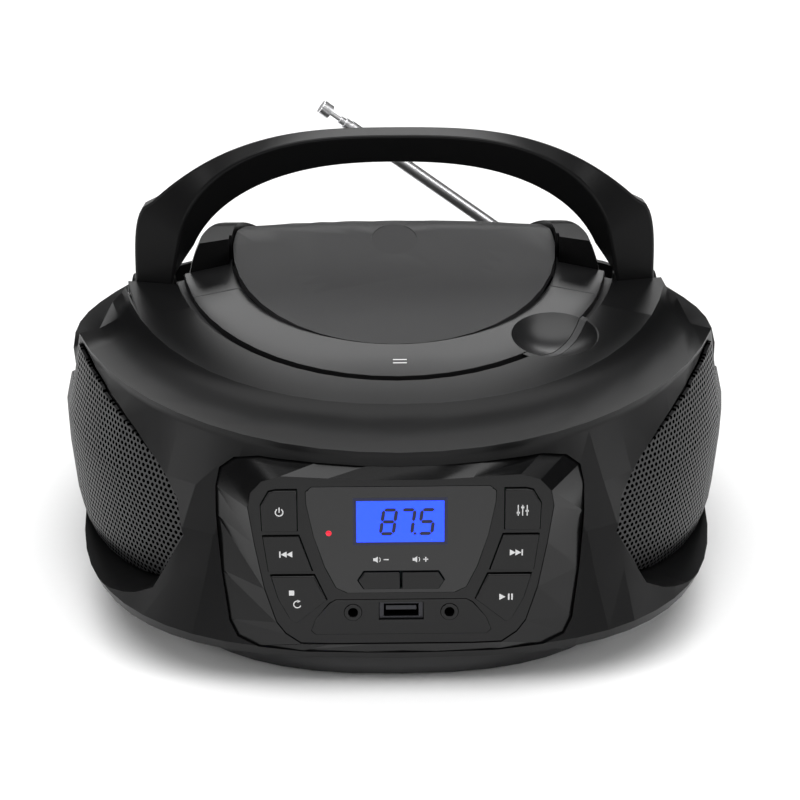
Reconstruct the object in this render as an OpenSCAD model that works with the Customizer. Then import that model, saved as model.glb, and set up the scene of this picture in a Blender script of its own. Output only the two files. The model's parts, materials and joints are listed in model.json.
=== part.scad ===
// Portable CD radio: an oval cabinet with a forward-tilted top deck, side speakers,
// a front control panel, a folding carrying handle and a telescopic aerial.
// Origin: centre of the footprint on the table. +Z up, the front faces -Y.

/* [Cabinet] */
// Width of the cabinet across the chin
body_w = 254; // [240:1:310]
// Depth of the cabinet, chin to back
body_d = 255; // [250:1:310]
// Height of the lip above the table, at the middle of the deck
lip_h = 103.6; // [100:0.1:126]
// Height of the parting line between the two cabinet halves
parting_z = 57; // [52:1:62]
// Thickness of the moulded walls
wall = 2.4; // [1.8:0.1:3]
// Forward tilt of the top deck, as rise over run
deck_slope = 0.152; // [0.12:0.01:0.16]

/* [Lid] */
// Half width of the lid ring
lid_half_w = 85; // [84:0.5:86]
// Radius of the round panel inside the lid ring
panel_r = 64.5; // [64:0.1:66]
// Thickness of the lid mouldings
lid_t = 2.4; // [2:0.1:3]

/* [Disc drive] */
// Radius of the disc well
well_r = 63; // [61:0.5:63]
// Height of the well floor's top face
well_z = 88; // [87:0.5:89]
// Radial travel of the laser sled
sled_travel = 33; // [20:1:34]

/* [Handle] */
// Height of the handle's top edge above its pivot
handle_h = 73.3; // [66:0.1:88]
// Thickness of the handle's arch, top edge to underside
handle_t = 14; // [11:0.1:15]
// Width of a handle leg at its foot
leg_w = 17; // [14:0.5:17]
// Radius of the handle's pivot pins
pivot_r = 3; // [2:0.1:4]

/* [Speakers] */
// Radius of the speaker's flange
speaker_r = 36; // [32:0.5:37]
// Turn of each speaker towards the front
speaker_turn = 35; // [32:1:38]

/* [Controls] */
// Travel of a key
key_travel = 0.7; // [0.4:0.05:0.8]
// Radius of a jack's bore
jack_r = 1.8; // [1.5:0.05:1.9]

/* [Battery] */
// Width of the battery compartment
bay_w = 104; // [90:1:108]
// Height of the battery compartment
bay_h = 28; // [26:0.5:31]

/* [Aerial] */
// Collapsed length of the aerial, pivot to tip
aerial_len = 125.6; // [110:0.1:132]
// Radius of the aerial's outer tube
aerial_r = 2.8; // [2.6:0.05:3.2]

/* [Hidden] */

half_w = body_w / 2;
half_d = body_d / 2;
ring_n = 56;             // points around a cabinet section
ring_y = 20;             // where the cabinet is widest
deck_y = 19.5;           // where the deck heights are stated
fit = 0.15;              // gap around a part that is pressed or snapped in
run = 0.3;               // gap around a part that moves
near = 0.05;             // radial gap of a running shaft
foot_h = 1.6;
chin_z = 17;
tilt = atan(deck_slope);

// ---------- curves ----------
function spow(v, p) = sign(v) * pow(abs(v), p);
function clamp(v, lo, hi) = min(max(v, lo), hi);

// One cabinet section: [half width, front y, back y, exponent, height, slope, side rise, back drop]
function section(a, front, back, n, z, slope = 0, rise = 0, drop = 0) =
    [for (i = [0 : ring_n - 1])
        let (t = 360 * i / ring_n, x = a * spow(cos(t), 2 / n),
             reach = sin(t) < 0 ? ring_y - front : back - ring_y,
             y = ring_y + reach * spow(sin(t), 2 / n))
        [x, y, z + slope * min(y - deck_y, 0) + rise * pow(x / half_w, 2)
            - drop * pow(max(y - deck_y, 0), 2)]];

// Sections blended point by point
function mix(r, s, f, g) = [for (i = [0 : len(r) - 1])
    [r[i].x + (s[i].x - r[i].x) * f, r[i].y + (s[i].y - r[i].y) * f,
     r[i].z + (s[i].z - r[i].z) * g]];

// Heights of the top surfaces
function ring_z(y) = lip_h + 10.6 + deck_slope * (y - deck_y);
crest_y = 25.5;
crest_rise = 9.1;
roll = 0.0143;
front_edge = -panel_r + 17.5;
function panel_top(x, y) =
    let (u = clamp((y - front_edge) / (crest_y - front_edge), 0, 1))
    ring_z(min(y, crest_y)) + crest_rise * pow(u, 1.3) - 2.4 * pow(x / 64, 2) * u
        - roll * pow(max(y - crest_y, 0), 2);

// ---------- solids from sections ----------
module loft(rings) {
    n = len(rings[0]);
    m = len(rings);
    low = [0, ring_y, rings[0][0].z];
    high = [0, ring_y, rings[m - 1][0].z];
    points = concat([for (r = rings) each r], [low, high]);
    sides = [for (j = [0 : m - 2], i = [0 : n - 1]) let (k = (i + 1) % n)
        each [[j * n + i, (j + 1) * n + i, (j + 1) * n + k], [j * n + i, (j + 1) * n + k, j * n + k]]];
    caps = [for (i = [0 : n - 1]) let (k = (i + 1) % n)
        each [[n * m, i, k], [n * m + 1, (m - 1) * n + k, (m - 1) * n + i]]];
    polyhedron(points, concat(sides, caps));
}

// A closed band: rings joined one to the next and the last to the first
module band(rings) {
    n = len(rings[0]);
    m = len(rings);
    faces = [for (j = [0 : m - 1], i = [0 : n - 1]) let (k = (i + 1) % n, p = (j + 1) % m)
        each [[j * n + i, p * n + i, p * n + k], [j * n + i, p * n + k, j * n + k]]];
    polyhedron([for (r = rings) each r], faces);
}

// ---------- cabinet form ----------
// Sections below the parting line, d = inset
function chin_rings(d) = [
    section(half_w - 9 - d, -half_d + 8 + d, half_d - 8.5 - d, 3.2, 10.5 - (d > 0 ? 1 : 0), 0, 5),
    section(half_w - 2.5 - d, -half_d + 2 + d, half_d - 2.5 - d, 3.3, 13, 0, 6),
    section(half_w - d, -half_d + d, half_d - d, 3.3, chin_z, 0, 8),
    section(half_w + 1.5 - d, -half_d + 3 + d, half_d - 1 - d, 2.85, chin_z + 0.575 * (parting_z - chin_z)),
    parting_ring(d, parting_z)];
function parting_ring(d, z) = section(half_w + 2.4 - d, -half_d + 6 + d, half_d - 3.5 - d, 2.6, z);
function lip_ring(d, z) = section(half_w + 3 - d, -half_d + 9.6 + d, half_d - 9.5 - d, 2, z, 0.077, 0, 0.0025);
function ridge_ring(d, z) =
    section(half_w - 18.6 - d, -half_d + 36.2 + d, half_d - 29.5 - d, 2.15, z, 0.15, 0, 0.0034);
function deck_ring(d, z) =
    section(lid_half_w + 3.4 - d, 17.5 - lid_half_w - 5 + d, half_d - 45 - d, 2, z, deck_slope, 0, 0.004);

module lower_form(d = 0) {
    loft(concat(chin_rings(d), d > 0 ? [parting_ring(d, parting_z + 1)] : []));
}
module upper_form(d = 0) {
    under = section(half_w + 0.6 - d, -half_d + 10.9 + d, half_d - 10.5 - d, 2.05, lip_h - 4, 0.077, 0, 0.0025);
    lip = lip_ring(d, lip_h - d);
    ridge = ridge_ring(d, lip_h + 12.6 - d);
    loft([
        parting_ring(d, parting_z - (d > 0 ? 1 : 0)),
        section(half_w + 2.2 - d, -half_d + 8.8 + d, half_d - 7.5 - d, 2.3, (parting_z + lip_h) / 2 - 6, 0.02),
        under,
        lip_ring(d + 0.4, lip_h - 2 - d),
        lip,
        mix(lip, ridge, 0.4, 0.13), mix(lip, ridge, 0.75, 0.45), mix(lip, ridge, 0.93, 0.78),
        ridge,
        deck_ring(d > 0 ? -4 : 0, lip_h + 10.85 - d)]);
}

// ---------- handle ----------
pivot_y = 9.5;
pivot_z = lip_h - 4.1;
leg_in = half_w - 39.3;               // inner face of a leg at its foot
leg_out = leg_in + leg_w + 0.2;       // outer face of a leg at its foot
sweep_r = handle_h - handle_t - 1;    // what the arch sweeps around when it folds
sweep_w = leg_in - 4.4;
trough_z = pivot_z - 11.3;
front_y = -2.5;

// ---------- rear deck, inside the handle's sweep ----------
module sweep_core(shrink) {
    r = sweep_r - shrink;
    w = sweep_w - shrink;
    half = [for (i = [0 : 20]) let (t = 90 * i / 20)
        [r * pow(cos(t), 2 / 2.32), w * pow(sin(t), 2 / 2.32)]];
    translate([0, pivot_y, pivot_z]) rotate([0, 90, 0])
        rotate_extrude($fn = 64)
            polygon(concat([for (i = [20 : -1 : 0]) [half[i].x, -half[i].y]], half));
}
deck_front = 4;
deck_back = 66;
module deck_profile(d, base) {
    rotate([90, 0, 90]) linear_extrude(2 * half_w, center = true)
        polygon(concat([[deck_back, base], [deck_front, base]],
            [for (i = [0 : 16]) let (y = deck_front + i * (deck_back - deck_front) / 16)
                [y, lip_h + 20.2 - roll * pow(max(y - crest_y, 0), 2) - d]]));
}
module behind_step(d) {
    // everything behind the line where the lid ring ends
    linear_extrude(200)
        polygon([[-120, 5.5 + d - 14.7], [-85, 5.5 + d], [-66, 13.5 + d], [-66, 17.5 + d], [66, 17.5 + d],
            [66, 13.5 + d], [85, 5.5 + d], [120, 5.5 + d - 14.7], [120, 150], [-120, 150]]);
}
module island(d = 0, base = trough_z - wall + 0.7) {
    intersection() {
        union() {
            sweep_core(0.7 + d);
            translate([0, 0, base - 1]) linear_extrude(pivot_z - base + 1) projection_core(0.7 + d);
        }
        deck_profile(d, base);
        behind_step(d);
    }
}
module projection_core(shrink) {
    r = sweep_r - shrink;
    w = sweep_w - shrink;
    polygon([for (i = [0 : 47]) let (t = 360 * i / 48)
        [w * spow(cos(t), 2 / 2.32), pivot_y + r * spow(sin(t), 2 / 2.32)]]);
}

// ---------- cut-outs shared by the cabinet halves ----------
module trough(z0, d = 0) {
    translate([0, 0, z0]) linear_extrude(80) difference() {
        intersection() {
            polygon([for (p = ridge_ring(1.4 - d, 0)) [p.x, p.y]]);
            translate([-200, front_y - run - d]) square([400, 300]);
        }
        translate([-leg_in + 1.5 + d, -100]) square([2 * (leg_in - 1.5 - d), 104.5]);
    }
}
module lid_recess() {
    // the oval that the lid ring drops into, and the round well behind it
    difference() {
        translate([0, 0, well_z - 10]) linear_extrude(80)
            polygon([for (p = deck_ring(-0.1, 0)) [p.x, p.y]]);
        translate([0, 0, -1]) behind_step(0.2);
    }
    well_shaft();
}
module side_frame(side) {
    // local X points out through the speaker, local Y to the back, Z up
    mirror([side > 0 ? 0 : 1, 0, 0]) rotate([0, 0, -speaker_turn]) children();
}
// Outline of the speaker opening: run along the cabinet and height
open_len = 129;
open_mid = 54;
function opening(d) = concat(
    [for (i = [0 : 18]) let (u = 1 - i / 18) [-41 + open_len * (1 - u) + (u > 0.5 ? d : -d),
        open_mid + (44 - d) * pow(1 - pow(u, 2), 0.6) * pow(1 - pow(1 - min(u / 0.3, 1), 2.5), 0.4)]],
    [for (i = [1 : 17]) let (u = i / 18) [-41 + open_len * (1 - u) + (u > 0.5 ? d : -d),
        open_mid - (33 - d) * pow(1 - pow(u, 5), 0.3) * pow(1 - pow(1 - min(u / 0.3, 1), 2.5), 0.4)]]);
module opening_prism(d, depth = 40, h = 140) {
    translate([depth, 0, 0]) rotate([90, 0, 90]) linear_extrude(h) polygon(opening(d));
}
aerial_y = half_d - 13;
aerial_x = 71;
aerial_z = 71;
aerial_rise = 36.5;
module aerial_shelf(d = 0) {
    translate([-66 - d, half_d - 16.7 - d, aerial_z - 6.5 - d]) cube([146 + 2 * d, 60, 80]);
}

// ---------- control panel frame ----------
panel_lean = atan(0.15);
module on_panel(w = 0) {
    // local X to the right, Y up the panel, Z out towards the user
    translate([0, -half_d, 16]) rotate([90 - panel_lean, 0, 0]) translate([0, 0, w]) children();
}
function outline(points) = concat([for (p = points) p],
    [for (i = [len(points) - 1 : -1 : 0]) [-points[i].x, points[i].y]]);
bezel_out = outline([[12, 0.5], [36, 1], [52, 2.6], [59.5, 6], [62.5, 12], [65, 30], [66.9, 50], [67, 60],
    [65.5, 67], [60, 71.5], [51, 73], [30, 72.3], [12, 71.8]]);
bezel_in = outline([[12, 4.2], [26, 4.2], [36.5, 4.6], [42, 8.5], [45.3, 13], [49.5, 26], [52.8, 43], [55, 57],
    [54, 62.5], [50, 66.8], [43, 68.8], [26, 67.8], [12, 67]]);
// How far the round cabinet wall lies behind the flat panel
function wall_depth(x, v) = let (n = 3.3 - 1.25 * clamp(v / 75, 0, 1))
    141 * (1 - pow(1 - pow(abs(x) / 128, n), 1 / n)) + 1.4;
function grow(points, d, cy) = [for (p = points) [p.x + sign(p.x) * d, p.y + sign(p.y - cy) * d]];

window = outline([[12, 24], [19.5, 24], [23.5, 26], [27.5, 34], [31.5, 46], [34, 58], [34.2, 62.5], [32, 64.3],
    [12, 64.3]]);
ports = outline([[12, 8], [31, 8], [32.6, 9.5], [31, 14], [26, 20], [23.5, 21.3], [12, 21.3]]);
jack_x = 17.5;
jack_v = 16.5;
usb_v = 16.8;
led_at = [-26, 46.9];
board_w = -8;
board_t = 1.6;

// Key caps of the right-hand column, the left-hand one is its mirror image
key_top = [[37.2, 47.9], [50, 47.9], [50.4, 58], [47.5, 63], [45, 63.6], [37.2, 63.6]];
key_mid = [[31.9, 32.6], [47.9, 32.6], [49.8, 46.2], [36.6, 46.2]];
key_low = [[38, 12.6], [40.5, 14.5], [44.5, 22], [47.2, 31.2], [31.2, 31.2], [26.8, 21.5]];
key_volume = [[0.3, 25.6], [13.5, 25.6], [15.6, 28.9], [13.5, 32.2], [0.3, 32.2]];
function flip(points) = [for (i = [len(points) - 1 : -1 : 0]) [-points[i].x, points[i].y]];
function middle(points) = [for (k = [0, 1]) (max([for (p = points) p[k]]) + min([for (p = points) p[k]])) / 2];
keys = [flip(key_top), flip(key_mid), flip(key_low), key_top, key_mid, key_low,
    flip(key_volume), key_volume];

module key_cap(points) {
    color([0.07, 0.07, 0.08]) on_panel() {
        translate([0, 0, -2.6]) linear_extrude(4) offset(delta = -run / 2) polygon(points);
        translate([middle(points).x, middle(points).y, -3.5]) cylinder(r = 1.6, h = 1, $fn = 24);
    }
}

// ---------- base ----------
boss_at = [[-82, -62], [82, -62], [-72, 84], [72, 84]];
board_posts = [[-46, -90], [46, -90], [-46, -36], [46, -36]];
bay_y0 = half_d - 61.5;
bay_y1 = half_d - 6.5;
bay_z0 = 13;
inlet_x = -74;
inlet_z = 30;

module base_plate() color([0.06, 0.06, 0.06]) {
    difference() {
        loft([section(half_w - 23, -half_d + 10, half_d - 14, 2.6, foot_h),
            section(half_w - 20, -half_d + 9, half_d - 13, 2.7, 6),
            section(half_w - 12.6, -half_d + 11.2, half_d - 12, 3.1, 10),
            section(half_w - 8.6, -half_d + 7.9, half_d - 9.5, 3.2, 16, 0, 2.6)]);
        loft([section(half_w - 25.4, -half_d + 12.4, half_d - 16.4, 2.6, 4),
            section(half_w - 22.4, -half_d + 11.4, half_d - 15.4, 2.7, 6),
            section(half_w - 15, -half_d + 13.6, half_d - 14.4, 3.1, 10),
            section(half_w - 10.6, -half_d + 9.9, half_d - 11.5, 3.2, 24, 0, 4)]);
        translate([-bay_w / 2 - 3, bay_y0, 10]) cube([bay_w + 6, 80, 20]);
        for (p = boss_at) translate([p.x, p.y, 0]) {
            cylinder(r = 1.8, h = 12, $fn = 24);
            cylinder(r = 3.2, h = foot_h + 1.3, $fn = 24);
        }
    }
    for (p = board_posts) translate([p.x, p.y, 3.9]) cylinder(r = 3, h = 10.1, $fn = 24);
}
module rubber_feet() color([0.12, 0.12, 0.12])
    for (x = [-1, 1], y = [-1, 1])
        translate([x * (half_w - 67), y * (half_d - 50), 0]) cylinder(r = 8, h = foot_h, $fn = 48);
module cabinet_screws() color([0.6, 0.6, 0.62])
    for (p = boss_at) translate([p.x, p.y, foot_h - 0.6]) {
        cylinder(r = 3, h = 1.8, $fn = 24);
        cylinder(r = 1.5, h = 16, $fn = 24);
    }

module lower_cabinet() color([0.08, 0.08, 0.085]) {
    difference() {
        lower_form();
        difference() {
            lower_form(wall);
            for (s = [-1, 1]) side_frame(s) opening_prism(-2, baffle_x + 2.6);
        }
        translate([0, 0, -5]) linear_extrude(18)
            polygon([for (p = section(half_w - 11.4, -half_d + 10.4, half_d - 10.9, 3.2, 0)) [p.x, p.y]]);
        for (s = [-1, 1]) side_frame(s) opening_prism(0);
        on_panel(-30) linear_extrude(60) polygon(grow(bezel_out, fit, 35));
        translate([-bay_w / 2 - wall - fit, half_d - 20, bay_z0 - fit]) cube([bay_w + 2 * (wall + fit), 40,
            bay_h + 2 * wall + 2 * fit]);
        translate([inlet_x - 12 - fit, half_d - 34, inlet_z - 8 - fit]) cube([24 + 2 * fit, 60, 16 + 2 * fit]);
    }
    // screw posts, each tied to the wall by gussets
    for (p = boss_at) difference() {
        union() {
            hull() {
                translate([p.x, p.y, 4.2]) cylinder(r = 4, h = 30, $fn = 24);
                translate([p.x, p.y, 20]) cylinder(r = 4.4, h = 14, $fn = 24);
            }
            hull() for (f = [0, 1])
                translate([p.x + f * sign(p.x) * (p.y > 0 ? 42 : 24), p.y + f * (p.y - ring_y) * 0.12, 24])
                    cylinder(r = 1, h = 10, $fn = 12);
            hull() for (f = [0, 1])
                translate([p.x + f * sign(p.x) * (p.y > 0 ? 42 : 24), p.y + f * (p.y - ring_y) * 0.12, 40])
                    cylinder(r = 1, h = 6, $fn = 12);
            hull() for (f = [0, 1])
                translate([p.x, p.y, 33 + f * 10]) cylinder(r = 4 - f, h = 3, $fn = 24);
        }
        translate([p.x, p.y, 0]) cylinder(r = 1.65, h = 20, $fn = 24);
        difference() {
            translate([-300, -300, -10]) cube([600, 600, 120]);
            lower_form(wall / 2);
        }
        for (s = [-1, 1]) side_frame(s) opening_prism(-0.5);
    }
}

module well_shaft(d = 0) {
    // the round opening under the lid panel, kept inside the rear deck's walls
    translate([0, 0, 50]) linear_extrude(120) intersection() {
        translate([0, 17.5]) circle(r = panel_r + 0.4 + d, $fn = 96);
        union() {
            projection_core(0.7 + wall - d);
            translate([-200, -200]) square([400, 200 + pivot_y]);
        }
        translate([-200, -200]) square([400, 200 + deck_back - wall + d]);
    }
}
module upper_cabinet() color([0.08, 0.08, 0.085]) {
    difference() {
        union() {
            difference() {
                union() {
                    difference() {
                        upper_form();
                        difference() {
                            upper_form(wall);
                            trough(trough_z - wall, wall);
                            aerial_shelf(wall);
                        }
                        trough(trough_z);
                        lid_recess();
                    }
                    island();
                }
                difference() {
                    island(wall, trough_z - 20);
                    well_shaft(wall);
                }
                well_shaft();
            }
            // the cabinet's share of the thumb recess
            difference() {
                thumb_bowl();
                translate([0, 0, 50]) linear_extrude(100) polygon([for (p = deck_ring(-0.1, 0)) [p.x, p.y]]);
            }
            // seat of each handle pin in the side of the rear deck
            for (s = [-1, 1]) hull() for (f = [0, 1])
                translate([s * (sweep_w - 1.5 - f * 10), pivot_y, pivot_z]) rotate([0, s * 90, 0])
                    cylinder(r = 6.5 - f, h = 0.8, center = true, $fn = 24);
            // ribs under the front of the deck
            for (i = [-3 : 3]) hull() for (f = [0, 1])
                let (r = lid_half_w + 6 + f * 10, y = 17.5 - r * cos(i * 20))
                translate([r * sin(i * 20), y, ring_z(y) - 9]) cylinder(r = 0.8, h = 8, $fn = 12);
        }
        aerial_shelf();
        thumb_ball();
        for (s = [-1, 1]) side_frame(s) opening_prism(0);
        on_panel(-30) linear_extrude(60) polygon(grow(bezel_out, fit, 35));
        translate([-200, pivot_y, pivot_z]) rotate([0, 90, 0]) cylinder(r = pivot_r + 0.1, h = 400, $fn = 32);
        translate([aerial_x, half_d - 40, aerial_z]) rotate([-90, 0, 0]) cylinder(r = 2.7, h = 40, $fn = 24);
    }
}

lid_y = 58;
lid_z = pivot_z + 1;

// ---------- lid ----------
// The flat ring of the deck: its front arc lifts with the lid, its two ends stay on the cabinet
module ring_plate(t) {
    difference() {
        intersection() {
            linear_extrude(200) polygon([for (p = deck_ring(3.4, 0)) [p.x, p.y]]);
            translate([0, deck_y, ring_z(deck_y) - t]) rotate([tilt, 0, 0])
                translate([-150, -150, 0]) cube([300, 300, t]);
        }
        translate([0, 17.5, 0]) cylinder(r = panel_r + fit, h = 200, $fn = 96);
        translate([0, 0, -1]) behind_step(-run);
    }
}
module ring_front(d) {
    // sector in front of the two radial lines where the lid ring ends
    linear_extrude(200) polygon([[0, 17.5 - d], [159.2, -42.3 - d], [159.2, -200], [-159.2, -200],
        [-159.2, -42.3 - d]]);
}
module lid_ring() color([0.14, 0.14, 0.145]) {
    difference() {
        intersection() {
            ring_plate(lid_t);
            ring_front(run);
        }
        thumb_ball();
    }
    // the lid's share of the thumb recess
    intersection() {
        thumb_bowl();
        linear_extrude(200) polygon([for (p = deck_ring(3.4, 0)) [p.x, p.y]]);
    }
}
module ring_ends() color([0.14, 0.14, 0.145]) difference() {
    ring_plate(lid_t + 0.3);
    ring_front(0);
}
// The thumb recess: a shallow bowl shared by the lid ring, the well's rim and the cabinet
module thumb_ball(d = 0) {
    translate([60, -44, ring_z(-44) + 18.3]) rotate([tilt, 0, 0]) sphere(r = 24.3 + d, $fn = 64);
}
module thumb_bowl() {
    difference() {
        intersection() {
            thumb_ball(1.5);
            translate([0, deck_y, ring_z(deck_y) - 20]) rotate([tilt, 0, 0])
                translate([20, -150, 0]) cube([100, 150, 20 - 0.4]);
        }
        thumb_ball();
    }
}
dish_rim = 40;
dish_rings = 7;
function dish(j, d) = [for (i = [0 : dish_rim - 1])
    let (t = 360 * i / dish_rim, r = panel_r * j / dish_rings, x = r * cos(t), y = 17.5 + r * sin(t))
    [x, y, panel_top(x, y) - d]];
module lid_panel() color([0.1, 0.1, 0.105]) {
    intersection() {
        band(concat([for (j = [dish_rings : -1 : 1]) dish(j, 0)], [for (j = [1 : dish_rings]) dish(j, lid_t)]));
        linear_extrude(200) intersection() {
            // the back edge is eased so that it clears the deck as the lid lifts
            union() {
                projection_core(6.5);
                translate([-200, -200]) square([400, 200 + pivot_y]);
            }
            translate([-200, -200]) square([400, 260]);
            union() {
                translate([0, 14.6]) circle(r = panel_r, $fn = 96);
                translate([-200, -200]) square([400, 200]);
            }
        }
    }
    // the middle of the dish, closed by a round plate
    translate([0, 17.5, panel_top(0, 17.5) - lid_t + 0.2]) rotate([18, 0, 0])
        cylinder(r = 10.4, h = lid_t - 0.6, $fn = 48);
    // holder of the disc clamp, its top inside the sloping panel
    difference() {
        intersection() {
            translate([0, 0, 96]) cylinder(r = 17, h = 40, $fn = 48);
            translate([0, 0, panel_top(0, 0) - lid_t / 2 - 0.1]) rotate([16.5, 0, 0])
                translate([-30, -30, -40]) cube([60, 60, 40]);
        }
        translate([0, 0, 97.5]) cylinder(r = 15, h = 40, $fn = 48);
        translate([0, 0, 90]) cylinder(r = 13, h = 20, $fn = 48);
    }
    // hinge arms
    for (s = [-1, 1]) difference() {
        union() {
            translate([s * 30 - 3, lid_y, lid_z]) rotate([0, 90, 0]) cylinder(r = 3.2, h = 6, $fn = 32);
            translate([s * 30 - 3, lid_y - 14, lid_z]) cube([6, 14, 3.2]);
            translate([s * 30 - 3, lid_y - 14, lid_z]) cube([6, 3, panel_top(30, lid_y - 12.5) - lid_z - 1.4]);
        }
        translate([s * 30 - 4, lid_y, lid_z]) rotate([0, 90, 0]) cylinder(r = 1.5 + near, h = 8, $fn = 32);
    }
}
module disc_clamp() color([0.75, 0.76, 0.78]) {
    translate([0, 0, 97.8]) cylinder(r = 14.5, h = 1.7, $fn = 48);
    translate([0, 0, 94]) cylinder(r = 12.5, h = 4, $fn = 48);
}
module lid_pins() color([0.6, 0.6, 0.62])
    for (s = [-1, 1]) translate([s * 30 - 7, lid_y, lid_z]) rotate([0, 90, 0]) cylinder(r = 1.5, h = 14, $fn = 32);

// ---------- disc drive ----------
floor_t = 2;
chassis_z = well_z - 10;
module cd_well() color([0.09, 0.09, 0.09]) {
    difference() {
        union() {
            translate([0, 0, well_z - floor_t]) cylinder(r = well_r + 1.6, h = 8, $fn = 96);
            intersection() {
                translate([0, deck_y, ring_z(deck_y) - lid_t - 2.2]) rotate([tilt, 0, 0])
                    translate([-150, -150, 0]) cube([300, 300, 1.8]);
                difference() {
                    linear_extrude(200) polygon([for (p = deck_ring(fit, 0)) [p.x, p.y]]);
                    translate([0, 0, -1]) behind_step(-run);
                }
            }
            intersection() {
                thumb_bowl();
                linear_extrude(200) difference() {
                    polygon([for (p = deck_ring(fit, 0)) [p.x, p.y]]);
                    polygon([for (p = deck_ring(3.4 - run, 0)) [p.x, p.y]]);
                }
            }
            // ears of the lid's hinge
            for (x = [-35, -25, 25, 35]) translate([x - 1.5, 50, well_z - floor_t]) cube([3, lid_y - 47.5, 16.9]);
            intersection() {
                translate([0, 0, well_z]) cylinder(r = well_r + 1.6, h = 40, $fn = 96);
                translate([0, deck_y, ring_z(deck_y) - lid_t - 61.1]) rotate([tilt, 0, 0])
                    translate([-150, -150, 0]) cube([300, 138, 60]);
            }
        }
        translate([0, 0, well_z]) cylinder(r = well_r, h = 60, $fn = 96);
        translate([-60, lid_y, lid_z]) rotate([0, 90, 0]) cylinder(r = 1.5, h = 120, $fn = 24);
        translate([0, 0, well_z - 10]) cylinder(r = 14, h = 20, $fn = 48);
        translate([-5.5, -24 - sled_travel - 5, well_z - 10]) cube([11, sled_travel + 10, 20]);
        thumb_ball();
        intersection() {
            thumb_ball(1.5 + run);
            linear_extrude(200) polygon([for (p = deck_ring(3.4 - run, 0)) [p.x, p.y]]);
        }
        translate([-50, deck_back - wall - run, 80]) cube([100, 20, 40]);
    }
}
module cd_dampers() color([0.2, 0.2, 0.2])
    for (x = [-32, 32], y = [-50, 30]) translate([x, y, chassis_z + 2]) cylinder(r = 4, h = 6, $fn = 32);
rail_z = chassis_z + 4.6;
module cd_chassis() color([0.62, 0.63, 0.65]) {
    difference() {
        translate([-40, -76, chassis_z]) cube([80, 114, 2]);
        cylinder(r = 3, h = 200, $fn = 32);
        translate([-6, -24 - sled_travel - 6, 0]) cube([12, sled_travel + 12, 200]);
    }
    // blocks that hold the sled's rails and screw
    for (y = [-75, -14]) difference() {
        translate([-18, y, chassis_z + 2]) cube([36, 1.8, 5.4]);
        for (x = [-14, 14]) translate([x, y - 1, rail_z]) rotate([-90, 0, 0]) cylinder(r = 1, h = 4, $fn = 24);
        translate([9, y - 1, rail_z]) rotate([-90, 0, 0]) cylinder(r = 1 + near, h = 4, $fn = 24);
        if (y < -50) translate([-6, y - 1, chassis_z]) cube([12, 4, 9]);
    }
}
module sled_rails() color([0.8, 0.8, 0.82])
    for (x = [-14, 14]) translate([x, -75, rail_z]) rotate([-90, 0, 0]) cylinder(r = 1, h = 62.8, $fn = 24);
module laser_sled() color([0.25, 0.25, 0.27]) difference() {
    translate([-17, -33, chassis_z + 2.4]) cube([34, 17, 4.6]);
    for (x = [-14, 14]) translate([x, -40, rail_z]) rotate([-90, 0, 0]) cylinder(r = 1 + near, h = 30, $fn = 24);
    translate([9, -40, rail_z]) rotate([-90, 0, 0]) cylinder(r = 1 + near, h = 30, $fn = 24);
}
module laser_lens() color([0.5, 0.6, 0.8])
    translate([0, -24, chassis_z + 7]) cylinder(r = 3, h = 2.4, $fn = 32);
module sled_screw() color([0.85, 0.85, 0.8])
    translate([9, -75.5, rail_z]) rotate([-90, 0, 0]) cylinder(r = 1, h = 63.6, $fn = 24);
module sled_motor() color([0.7, 0.7, 0.72])
    translate([9, -88, rail_z]) rotate([-90, 0, 0]) cylinder(r = 4, h = 11.9, $fn = 32);
module spindle_motor() color([0.7, 0.7, 0.72]) {
    translate([0, 0, chassis_z - 12]) cylinder(r = 10, h = 12, $fn = 48);
    translate([0, 0, chassis_z - 1]) cylinder(r = 1, h = 12, $fn = 24);
}
module turntable() color([0.15, 0.15, 0.16]) difference() {
    union() {
        translate([0, 0, chassis_z + 2.5]) cylinder(r = 6, h = 8, $fn = 48);
        translate([0, 0, chassis_z + 10.5]) cylinder(r = 12.5, h = 2, $fn = 64);
        translate([0, 0, chassis_z + 12.5]) cylinder(r1 = 7.4, r2 = 6, h = 2.4, $fn = 64);
    }
    translate([0, 0, chassis_z]) cylinder(r = 1 + near, h = 12, $fn = 24);
}

// ---------- handle ----------
// Edges of the arch: where the top-front, outer, inner and hidden back edges run
function arch(a, h, n, t) = [-a * spow(cos(t), 2 / n), h * pow(abs(sin(t)), 2 / n)];
function outer_edge(t) = let (x = -leg_out * 0.962 * cos(t),
    s = abs(x) / (leg_out * 0.962)) [x, handle_h - (handle_h * 0.51) * pow(s, 3.1)];
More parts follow.
